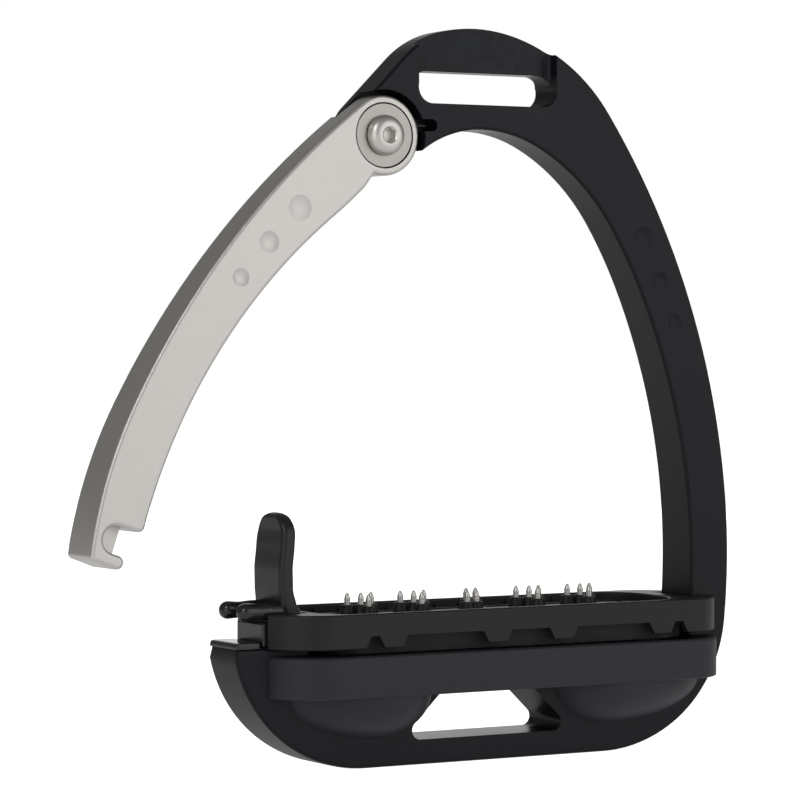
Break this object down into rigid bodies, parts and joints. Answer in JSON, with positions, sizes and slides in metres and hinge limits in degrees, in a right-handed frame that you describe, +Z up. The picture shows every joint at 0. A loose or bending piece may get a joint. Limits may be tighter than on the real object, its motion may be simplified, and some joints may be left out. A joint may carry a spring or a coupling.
{
  "type": "safety stirrup iron",
  "caption": "Black stirrup iron with a hinged silver outer arm that swings out on a sprung pivot, a thumb lever latch, a strap slot in the crown and a raised studded tread.",
  "frame": {"origin": "middle of the flat sole, on its underside", "axes": "+X towards the fixed branch, +Y to the back (the arm's screw head faces -Y), +Z up through the crown"},
  "size_m": [0.1735, 0.0344, 0.1733],
  "materials": {
    "black_coat": "satin black powder coat",
    "silver_anodised": "bead-blasted and anodised, satin",
    "polished_steel": "polished stainless",
    "satin_steel": "satin stainless",
    "spring_steel": "drawn wire",
    "bearing_bronze": "turned bronze",
    "black_nylon": "moulded, satin",
    "gloss_black": "gloss",
    "rubber": "matt"
  },
  "bodies": {
    "frame": {"frame": "black_coat", "pivot_screw": "polished_steel", "pivot_washer": "satin_steel", "pivot_bush": "bearing_bronze", "thrust_washer": "bearing_bronze", "pivot_nut": "satin_steel", "arm_spring": "spring_steel", "latch_block": "black_nylon", "lever_pin": "polished_steel", "lever_spring": "spring_steel", "arm_bumper": "gloss_black", "tread_body": "black_nylon", "tread_cushion": "rubber", "stud_plate": "satin_steel", "tread_grid": "black_nylon", "tread_screw_1": "satin_steel", "tread_screw_2": "satin_steel", "tread_screw_3": "satin_steel", "tread_screw_4": "satin_steel", "tread_stud_01": "polished_steel", "tread_stud_02": "polished_steel", "tread_stud_03": "polished_steel", "tread_stud_04": "polished_steel", "tread_stud_05": "polished_steel", "tread_stud_06": "polished_steel", "tread_stud_07": "polished_steel", "tread_stud_08": "polished_steel", "tread_stud_09": "polished_steel", "tread_stud_10": "polished_steel", "tread_stud_11": "polished_steel", "tread_stud_12": "polished_steel", "tread_stud_13": "polished_steel", "tread_stud_14": "polished_steel", "tread_stud_15": "polished_steel", "tread_stud_16": "polished_steel", "tread_stud_17": "polished_steel", "tread_stud_18": "polished_steel", "tread_stud_19": "polished_steel", "tread_stud_20": "polished_steel"},
    "release_arm": {"release_arm": "silver_anodised", "well_seal": "rubber"},
    "release_lever": {"release_lever": "black_nylon"}
  },
  "joints": [
    {"name": "arm_hinge", "type": "hinge", "parent": "frame", "child": "release_arm", "pos_m": [-0.0266, 0, 0.1472], "axis": [0, -1, 0], "range_deg": [0, 18.5], "stiffness_Nm_per_rad": 0.12, "springref_deg": -51.57},
    {"name": "lever_hinge", "type": "hinge", "parent": "frame", "child": "release_lever", "pos_m": [-0.0554, 0, 0.0333], "axis": [0, 1, 0], "range_deg": [0, 6], "stiffness_Nm_per_rad": 0.05, "springref_deg": -17.19}
  ]
}
